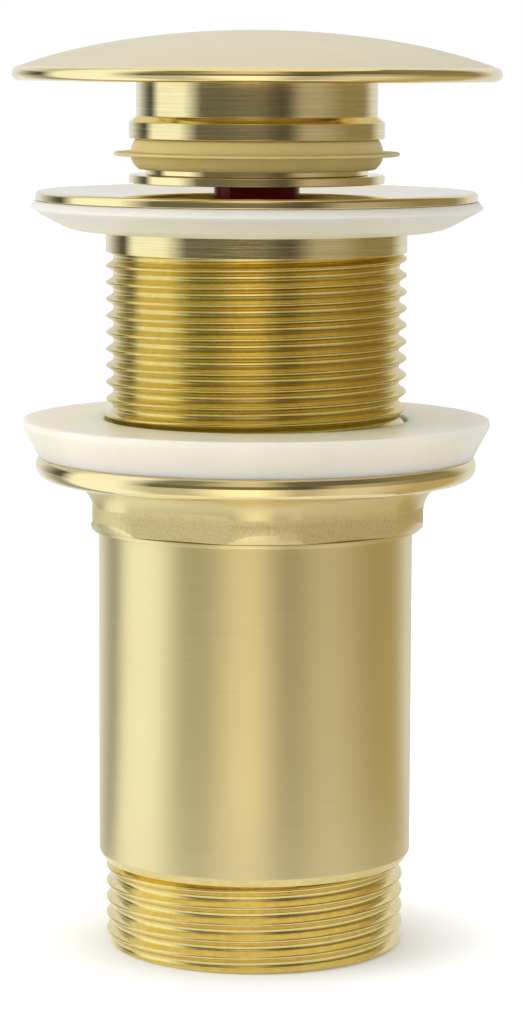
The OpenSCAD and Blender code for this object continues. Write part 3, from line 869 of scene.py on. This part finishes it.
def make_bridge():
    """The hub on three arms that holds the click cartridge in the bore."""
    shank_low = reach("waste_body")[1]
    low = shank_low + 1.5
    high = low + 6.0
    hub = turned(
        "bridge_hub",
        [
            (5.1, low, 0.2),
            (9.0, low, 0.4),
            (9.0, high, 0.4),
            (5.1, high, 0.2),
            (5.1, low, 0.2),
        ],
        steps=96,
    )
    arms = []
    for index in range(3):
        deselect()
        bpy.ops.mesh.primitive_cube_add(size=1, location=(13.5 * MM, 0, (low + high) / 2 * MM))
        arm = bpy.context.object
        arm.name = f"bridge_arm_{index}"
        arm.scale = (9.6 * MM, 4.0 * MM, 6.0 * MM)
        bpy.ops.object.transform_apply(location=True, rotation=False, scale=True)
        bpy.ops.object.mode_set(mode="EDIT")
        bpy.ops.mesh.select_all(action="SELECT")
        bpy.ops.mesh.bevel(offset=0.0004, segments=3, affect="EDGES")
        bpy.ops.object.mode_set(mode="OBJECT")
        arm.rotation_euler = (0, 0, math.radians(180 + 120 * index))
        bpy.ops.object.transform_apply(location=False, rotation=True, scale=False)
        arms.append(arm)
    bridge = joined("waste_bridge", [hub, *arms])
    smoothed(bridge, 35)
    paint(bridge, [inner_brass()])
    return finish(bridge, "waste", "body_brass", "waste_body")


def make_washers():
    """The two translucent washers that clamp the basin."""
    top_r, foot, _ = reach("top_washer")
    flange_r, _, crest = reach("waste_body")
    rim = crest - FLANGE_EDGE
    bore_r = 21.155
    seat = rim - 0.05 - FLANGE_SLOPE / (flange_r - THREAD_R) * (flange_r - bore_r)
    points = [
        (bore_r, foot, 0.2),
        (24.6, foot, 0.8),
        (26.6, foot + 0.48, 0.9),
        (top_r, foot + 3.08, 0.12),
        (top_r, foot + 3.32),
        (flange_r + 0.1, rim - 0.06, 0.1),
        (bore_r, seat),
        (bore_r, foot, 0.2),
    ]
    upper = turned("upper_washer", points, smooth=40)
    paint(upper, [washer_plastic()])
    finish(upper, "waste", "washer_plastic", "top_washer")

    wide_r, low, high = reach("lower_washer")
    tail_r = reach("tail_body")[0]
    # Its foot hugs the shoulder of the flange's bead
    half = BEAD_HALF
    points = [(bore_r, low, 0.2)]
    points += arc(tail_r - half, low - half, half + 0.02, 90, 46, 6)
    points += [
        (tail_r - 0.35, low - 0.42, 0.1),
        (wide_r - 0.75, low + 2.3, 3.0),
        (wide_r, high - 0.9, 0.3),
        (wide_r, high - 0.02, 0.38),
        (wide_r - 0.8, high, 0.1),
        (bore_r, high, 0.3),
        (bore_r, low, 0.2),
    ]
    lower = turned("clamp_ring", points, smooth=40)
    paint(lower, [washer_plastic()])
    finish(lower, "clamp_washer", "washer_plastic", "lower_washer")


def make_tail_tube():
    """The brushed tube with the outlet's thread under it."""
    sizes = bpy.context.scene.drain_thread
    _, low, high = reach("tail_body")
    thread_r, bore_r, outlet_r, tube_r = THREAD_R, 21.0, 17.6, 21.95
    split, ledge, top = low + 12.4, low + 14.8, high - 2 * BEAD_HALF
    points = [
        (outlet_r, split),
        (tube_r - 0.65, split, 0.06),
        (tube_r, split + 1.15, 0.1),
        (tube_r, top),
        (bore_r, top),
        (bore_r, ledge, 0.2),
        (outlet_r, ledge, 0.3),
        (outlet_r, split),
    ]
    tube = turned("tail_tube_body", points)
    rod = thread_rod("outlet_thread", thread_r, low - 1, split + 0.01, sizes.outlet_crest / MM)
    blank = turned(
        "outlet_blank",
        [
            (outlet_r + 0.4, low),
            (thread_r - THREAD_CHAMFER, low, 0.1),
            (thread_r + THREAD_SPARE, low + 0.95),
            (thread_r + THREAD_SPARE, split),
            (outlet_r, split),
            (outlet_r, low + 0.4),
            (outlet_r + 0.4, low),
        ],
    )
    thread = boolean(blank, rod, "INTERSECT")
    tail = joined("tail_tube", [tube, thread])
    smoothed(tail, 32)

    def choose(centre_mm, normal):
        r = radius(centre_mm)
        if r < bore_r + 0.05 and centre_mm.z > ledge - 0.5 or r < outlet_r + 0.3:
            return 2
        return 1 if centre_mm.z < split + 1.1 else 0

    paint(tail, [satin_brass(), thread_brass(), inner_brass()], choose)
    return finish(tail, "tail", "tail_brass", "tail_body")


def make_hexagon():
    """The forged hexagon with soft corners, whose faces sweep up to the flange in a cove."""
    _, _, high = reach("tail_body")
    flat_r, corner_r, band_r, inner_r = 22.8, 24.85, 23.0, 21.4
    turned_by, corner_cut, rings = math.radians(3.4), 0.0058, 14
    # Wider than the cove, so that the blank only trims the hexagon's foot
    clear_r = 28.8
    top = high - 2 * BEAD_HALF
    low = top - 7.15
    cone = low + 0.7
    wide, tall = 3.4, 4.0
    foot = top - tall
    bottom = cone - 0.5
    deselect()
    bpy.ops.mesh.primitive_cylinder_add(
        vertices=6,
        radius=flat_r / math.cos(math.pi / 6) * MM,
        depth=(foot - bottom) * MM,
        location=(0, 0, (foot + bottom) / 2 * MM),
        rotation=(0, 0, turned_by),
        end_fill_type="NGON",
    )
    prism = bpy.context.object
    prism.name = "tail_hexagon"
    bpy.ops.object.transform_apply(location=True, rotation=True, scale=True)
    bpy.ops.object.mode_set(mode="EDIT")
    select_where(prism, "EDGE", lambda co: abs(co.z - (foot + bottom) / 2 * MM) < 1e-5)
    bpy.ops.mesh.bevel(offset=corner_cut, segments=10, affect="EDGES")
    # The cove is a quarter of an ellipse over each face, drawn up in rings
    select_where(prism, "FACE", lambda co: abs(co.z - foot * MM) < 1e-6)
    here_r, here_z = flat_r, foot
    for i in range(1, rings + 1):
        turn = math.radians(90 * i / rings)
        r, z = flat_r + wide * (1 - math.cos(turn)), foot + tall * math.sin(turn)
        step = (0, 0, (z - here_z) * MM)
        bpy.ops.mesh.extrude_region_move(TRANSFORM_OT_translate={"value": step})
        wider = r / here_r
        bpy.ops.transform.resize(value=(wider, wider, 1), center_override=(0, 0, z * MM))
        here_r, here_z = r, z
    bpy.ops.mesh.select_all(action="SELECT")
    bpy.ops.mesh.normals_make_consistent(inside=False)
    bpy.ops.object.mode_set(mode="OBJECT")
    blank = turned(
        "hexagon_blank",
        [
            (inner_r, cone),
            (band_r + 0.75, cone),
            (corner_r, cone + 1.8),
            (clear_r, cone + 2.2),
            (clear_r, top - 0.02),
            (inner_r, top - 0.02),
            (inner_r, cone),
        ],
    )
    hexagon = boolean(prism, blank, "INTERSECT")
    band = turned(
        "tail_band",
        [
            (inner_r, low),
            (band_r, low, 0.1),
            (band_r + 0.1, cone - 0.14, 0.06),
            (inner_r, cone - 0.14),
            (inner_r, low),
        ],
    )
    collar = joined("tail_hexagon", [hexagon, band])
    smoothed(collar, 32)

    def choose(centre_mm, normal):
        on_cone = normal.z < -0.2 and radius(centre_mm) > band_r
        return 1 if centre_mm.z < cone + 0.01 or on_cone else 0

    paint(collar, [forged_brass(), satin_brass()], choose)
    return finish(collar, "tail", "tail_brass", "tail_body")


def make_tail_flange():
    """The half-round flange that presses the lower washer."""
    flange_r, _, top = reach("tail_body")
    half = BEAD_HALF
    low = top - 2 * half
    points = [(21.0, low), (25.2, low)]
    points += [(flange_r - half - 0.4, low)]
    points += arc(flange_r - half, low + half, half, -90, 90, 20)
    points += [(21.85, top, 0.05), (21.0, top - 0.85), (21.0, low)]
    flange = turned("tail_bead", points)
    paint(flange, [polished_brass()])
    return finish(flange, "tail", "tail_brass", "tail_body")


def make_spring():
    """A rounder copy of the CAD spring."""
    spring = copied("return_spring", "spring_coil")
    bpy.ops.object.mode_set(mode="OBJECT")
    round_wire = spring.modifiers.new("Round", "SUBSURF")
    round_wire.levels = round_wire.render_levels = 1
    bpy.ops.object.modifier_apply(modifier=round_wire.name)
    smoothed(spring, 60)
    paint(spring, [steel()])
    finish(spring, "waste", "inner_steel", "return_spring")
    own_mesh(spring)
    return spring


def finish_inner_nodes():
    """Gives the CAD pieces inside the bore their finishes."""
    finishes = {
        "lock_nut": inner_brass,
        "lock_washer": steel,
        "cartridge_base": inner_brass,
        "cartridge_housing": inner_brass,
        "cartridge_cap": inner_brass,
        "plunger_oring": oring_rubber,
        "ratchet_guide": ratchet_plastic,
        "ratchet_rotor": ratchet_plastic,
        "spring_seat": steel,
        "plug_stud": steel,
        "jam_nut": steel,
    }
    for name, material in finishes.items():
        paint(frame["nodes"][name], [material()])


# Stage


def make_camera():
    stage = bpy.context.scene.drain_stage
    data = bpy.data.cameras.new("photo_camera")
    data.sensor_fit = "VERTICAL"
    data.sensor_height = 36
    data.lens = stage.focal
    data.clip_start = 0.01
    data.clip_end = 50
    camera = bpy.data.objects.new("photo_camera", data)
    bpy.context.scene.collection.objects.link(camera)
    camera.location = (stage.camera_aside, -stage.camera_distance, stage.camera_height)
    camera.rotation_mode = "XYZ"
    # Looking along +Y, the camera is first rolled on its own axis and then pitched
    camera.rotation_euler = (math.pi / 2 - stage.camera_pitch, 0, 0)
    camera.rotation_euler.rotate_axis("Z", stage.camera_roll)
    bpy.context.scene.camera = camera


def seen_straight(n, plain, bright):
    """Shows bright to the camera and in reflections, and plain to all other light."""
    path = n.add("ShaderNodeLightPath")
    seen = n.math("MAXIMUM", path.outputs["Is Camera Ray"], path.outputs["Is Glossy Ray"])
    seen = n.math("MAXIMUM", seen, path.outputs["Is Transmission Ray"])
    mix = n.add("ShaderNodeMixShader", {0: seen, 1: plain, 2: bright})
    return mix.outputs[0]


def make_world():
    stage = bpy.context.scene.drain_stage
    world = bpy.data.worlds.new("white_studio")
    world.use_nodes = True
    bpy.context.scene.world = world
    n = Nodes.__new__(Nodes)
    n.tree = world.node_tree
    n.tree.nodes.clear()
    n.out = n.add("ShaderNodeOutputWorld")
    plain = n.add("ShaderNodeBackground", {"Color": (1, 1, 1, 1), "Strength": stage.ambient})
    bright = n.add("ShaderNodeBackground", {"Color": (1, 1, 1, 1), "Strength": 1.0})
    n.tree.links.new(
        seen_straight(n, plain.outputs[0], bright.outputs[0]), n.out.inputs["Surface"]
    )


def make_floor():
    stage = bpy.context.scene.drain_stage
    deselect()
    bpy.ops.mesh.primitive_plane_add(size=6, location=(0, 0, 0))
    floor = bpy.context.object
    floor.name = "studio_floor"
    n = Nodes("studio_floor")
    grain = n.noise(n.place(), 40, 2)
    tone = n.blend(n.ramp(grain, 0.3, 0.7), shade(stage.floor, 0.99), stage.floor)
    flat = n.add("ShaderNodeBsdfDiffuse", {"Color": tone})
    away = n.add("ShaderNodeVectorMath", {0: n.place()}, operation="LENGTH")
    path = n.add("ShaderNodeLightPath")
    # Painted shade: the floor's emitted lift is lower close round the plug's foot, so the floor
    # there stays darker; further out it lifts the floor to an even white
    shaded_to, clear_from = 0.021, 0.038
    under, around, reflected = 0.14, 0.46, 0.09
    level = n.ramp(away.outputs["Value"], shaded_to, clear_from, under, around)
    level = n.ramp(path.outputs["Is Camera Ray"], 0, 1, reflected, level)
    lift = n.add("ShaderNodeEmission", {"Color": (1, 1, 1, 1), "Strength": level})
    both = n.add("ShaderNodeAddShader", {0: flat.outputs[0], 1: lift.outputs[0]})
    n.tree.links.new(seen_straight(n, flat.outputs[0], both.outputs[0]), n.out.inputs["Surface"])
    paint(floor, [n.material])


def glowing(n, tone):
    """Ends a node tree in plain light of a colour, which is a value or a socket."""
    glow = n.add("ShaderNodeEmission", {"Color": tone, "Strength": 1.0})
    n.tree.links.new(glow.outputs[0], n.out.inputs["Surface"])
    return n.material


def only_reflected(card):
    """Lets a card show in reflections and nowhere else."""
    card.visible_camera = False
    card.visible_diffuse = False
    card.visible_transmission = False
    card.visible_volume_scatter = False
    card.visible_shadow = False


def card_tone(degrees, band):
    """The card's tone at an angle to the right of the camera, in an area or between two."""
    posts = [(to, tint, levels) for _, to, tint, levels in CARD_AREAS]
    posts += [(start, tint, levels) for start, _, tint, levels in CARD_AREAS]
    posts += [(180, *CARD_AREAS[0][2:])]
    posts.sort()
    for (start, tint, levels), (end, next_tint, next_levels) in zip(posts, posts[1:]):
        if start <= degrees <= end:
            part = (degrees - start) / (end - start)
            here = [c * levels[band] for c in CARD_TINTS[tint]]
            there = [c * next_levels[band] for c in CARD_TINTS[next_tint]]
            return [a + (b - a) * part for a, b in zip(here, there)]
    raise ValueError(degrees)


def make_card():
    """A card all round the plug, which lies on the floor and bends up at its far edge."""
    stage = bpy.context.scene.drain_stage
    near, far, high = (
        size / MM for size in (stage.card_start, stage.card_distance, stage.card_height)
    )
    over_floor = 0.3
    line = [(near, over_floor), (far, over_floor), (far, CARD_FOLD), (far, high)]
    card = outline("studio_card", line)
    bpy.ops.mesh.select_all(action="SELECT")
    bpy.ops.mesh.spin(steps=90, angle=math.tau, center=(0, 0, 0), axis=(0, 0, 1))
    bpy.ops.mesh.select_all(action="SELECT")
    bpy.ops.mesh.remove_doubles(threshold=1e-6)
    bpy.ops.object.mode_set(mode="OBJECT")
    mesh = card.data
    tones = mesh.color_attributes.new("tone", "FLOAT_COLOR", "CORNER")
    for face in mesh.polygons:
        height = face.center.z / MM
        band = (height > 1) + (height > CARD_FOLD)
        for corner in face.loop_indices:
            place = mesh.vertices[mesh.loops[corner].vertex_index].co
            degrees = round(math.degrees(math.atan2(place.x, -place.y)), 3)
            tones.data[corner].color = (*card_tone(degrees, band), 1)
    n = Nodes("studio_card")
    tone = n.add("ShaderNodeAttribute", attribute_name="tone")
    paint(card, [glowing(n, tone.outputs["Color"])])
    only_reflected(card)


def make_top_card(tone):
    stage = bpy.context.scene.drain_stage
    deselect()
    bpy.ops.mesh.primitive_circle_add(
        vertices=64,
        radius=stage.card_distance,
        fill_type="NGON",
        location=(0, 0, stage.card_height),
    )
    card = bpy.context.object
    card.name = "card_top"
    paint(card, [glowing(Nodes("card_top"), (*tone, 1))])
    only_reflected(card)


def make_lamp(name, place, size, power):
    """A square lamp that looks at the middle of the plug and doesn't show in reflections."""
    data = bpy.data.lights.new(name, "AREA")
    data.shape = "RECTANGLE"
    data.size = data.size_y = size
    data.energy = power
    lamp = bpy.data.objects.new(name, data)
    bpy.context.scene.collection.objects.link(lamp)
    lamp.location = place
    aim = Vector((0, 0, 0.07)) - Vector(place)
    lamp.rotation_euler = aim.to_track_quat("-Z", "Y").to_euler()
    lamp.visible_glossy = False
    return lamp


# Height in millimetres at which the standing card's tone changes
CARD_FOLD = 300

CARD_TINTS = {
    "cool": (0.95, 0.96, 1.00),
    "white": (0.98, 1.00, 0.96),
    "straw": (1.00, 0.98, 0.78),
    "tan": (1.00, 0.89, 0.70),
    "amber": (1.00, 0.83, 0.48),
}

TOP_TINT = (0.98, 0.86, 0.56)

# Metres and watts
LAMP_PLACE = (-0.9, -0.25, 0.5)
LAMP_SIZE = 0.8
LAMP_POWER = 4

# The card's areas from behind the plug round its left side, with a soft change between them.
# From and to in degrees to the right of the camera, the tint, and how bright the area is on the
# floor, where it stands low, and where it stands high. The levels began as a fit to the photograph's
# tones, and were then merged, rounded and changed.
CARD_AREAS = (
    (-180, -150, "cool", (0.95, 0.85, 0.92)),
    (-124, -118, "white", (0.35, 0.10, 0.60)),
    (-106, -73, "white", (1.10, 1.10, 1.05)),
    (-54, -34, "straw", (0.60, 0.15, 0.25)),
    (-12, 2, "tan", (1.30, 0.20, 0.70)),
    (20, 28, "tan", (0.55, 0.10, 0.15)),
    (44, 60, "tan", (0.75, 0.45, 0.15)),
    (90, 122, "amber", (0.50, 0.30, 0.25)),
    (142, 170, "cool", (0.80, 0.80, 0.85)),
)


def make_stage():
    make_camera()
    make_world()
    make_floor()
    make_card()
    make_top_card(TOP_TINT)
    make_lamp("lamp_left", LAMP_PLACE, LAMP_SIZE, LAMP_POWER)
    bpy.context.scene.view_settings.view_transform = "Standard"


# Operators, panel and registration


class DrainOperator:
    """What every operator shares: it runs its makers in order."""

    bl_options = {"REGISTER", "UNDO"}
    makers = ()

    def execute(self, context):
        for make in self.makers:
            make()
        return {"FINISHED"}


class DRAIN_OT_stage(DrainOperator, bpy.types.Operator):
    """Sets up the camera, the world, the floor, the two studio cards and the lamp"""

    bl_idname = "drain.stage"
    bl_label = "Stage"
    makers = (make_stage,)


class DRAIN_OT_cap(DrainOperator, bpy.types.Operator):
    """Turns the domed cap"""

    bl_idname = "drain.cap"
    bl_label = "Domed cap"
    makers = (make_cap,)


class DRAIN_OT_collar(DrainOperator, bpy.types.Operator):
    """Turns the plug's collar with its two flanges"""

    bl_idname = "drain.collar"
    bl_label = "Plug collar"
    makers = (make_collar,)


class DRAIN_OT_seal(DrainOperator, bpy.types.Operator):
    """Moulds the plug's rubber seal"""

    bl_idname = "drain.seal"
    bl_label = "Plug seal"
    makers = (make_seal,)


class DRAIN_OT_plunger(DrainOperator, bpy.types.Operator):
    """Makes the plunger with its wrench flats"""

    bl_idname = "drain.plunger"
    bl_label = "Plunger"
    makers = (make_plunger,)


class DRAIN_OT_waste(DrainOperator, bpy.types.Operator):
    """Makes the waste's flange, its threaded shank and the bridge in it"""

    bl_idname = "drain.waste"
    bl_label = "Waste body"
    makers = (make_shank, make_bridge)


class DRAIN_OT_washers(DrainOperator, bpy.types.Operator):
    """Moulds the two washers that clamp the basin"""

    bl_idname = "drain.washers"
    bl_label = "Washers"
    makers = (make_washers,)


class DRAIN_OT_tail(DrainOperator, bpy.types.Operator):
    """Makes the tail's tube, outlet thread, forged hexagon and flange"""

    bl_idname = "drain.tail"
    bl_label = "Tail"
    makers = (make_tail_tube, make_hexagon, make_tail_flange)


class DRAIN_OT_spring(DrainOperator, bpy.types.Operator):
    """Makes the return spring"""

    bl_idname = "drain.spring"
    bl_label = "Return spring"
    makers = (make_spring,)


class DRAIN_OT_inner(DrainOperator, bpy.types.Operator):
    """Finishes the pieces of the click cartridge"""

    bl_idname = "drain.inner"
    bl_label = "Inner pieces"
    makers = (finish_inner_nodes,)


class DRAIN_PT_panel(bpy.types.Panel):
    """Lists the drain plug's sizes, finishes and pieces"""

    bl_idname = "DRAIN_PT_panel"
    bl_label = "Drain Plug"
    bl_space_type = "VIEW_3D"
    bl_region_type = "UI"
    bl_category = "Drain Plug"

    def draw(self, context):
        for group in (
            context.scene.drain_thread,
            context.scene.drain_finishes,
            context.scene.drain_stage,
        ):
            box = self.layout.box()
            for name in group.__annotations__:
                box.prop(group, name)
        for operator in OPERATORS:
            self.layout.operator(operator.bl_idname)


OPERATORS = (
    DRAIN_OT_stage,
    DRAIN_OT_cap,
    DRAIN_OT_collar,
    DRAIN_OT_seal,
    DRAIN_OT_plunger,
    DRAIN_OT_waste,
    DRAIN_OT_washers,
    DRAIN_OT_tail,
    DRAIN_OT_spring,
    DRAIN_OT_inner,
)
CLASSES = (DrainThreadSizes, DrainFinishes, DrainStage, *OPERATORS, DRAIN_PT_panel)


def register():
    for item in CLASSES:
        bpy.utils.register_class(item)
    bpy.types.Scene.drain_thread = bpy.props.PointerProperty(type=DrainThreadSizes)
    bpy.types.Scene.drain_finishes = bpy.props.PointerProperty(type=DrainFinishes)
    bpy.types.Scene.drain_stage = bpy.props.PointerProperty(type=DrainStage)


def unregister():
    del bpy.types.Scene.drain_stage
    del bpy.types.Scene.drain_finishes
    del bpy.types.Scene.drain_thread
    for item in reversed(CLASSES):
        bpy.utils.unregister_class(item)


def main():
    register()
    bpy.ops.drain.stage()
    bpy.ops.drain.cap()
    bpy.ops.drain.collar()
    bpy.ops.drain.seal()
    bpy.ops.drain.plunger()
    bpy.ops.drain.waste()
    bpy.ops.drain.washers()
    bpy.ops.drain.tail()
    bpy.ops.drain.spring()
    bpy.ops.drain.inner()
    deselect()


if __name__ == "__main__":
    main()
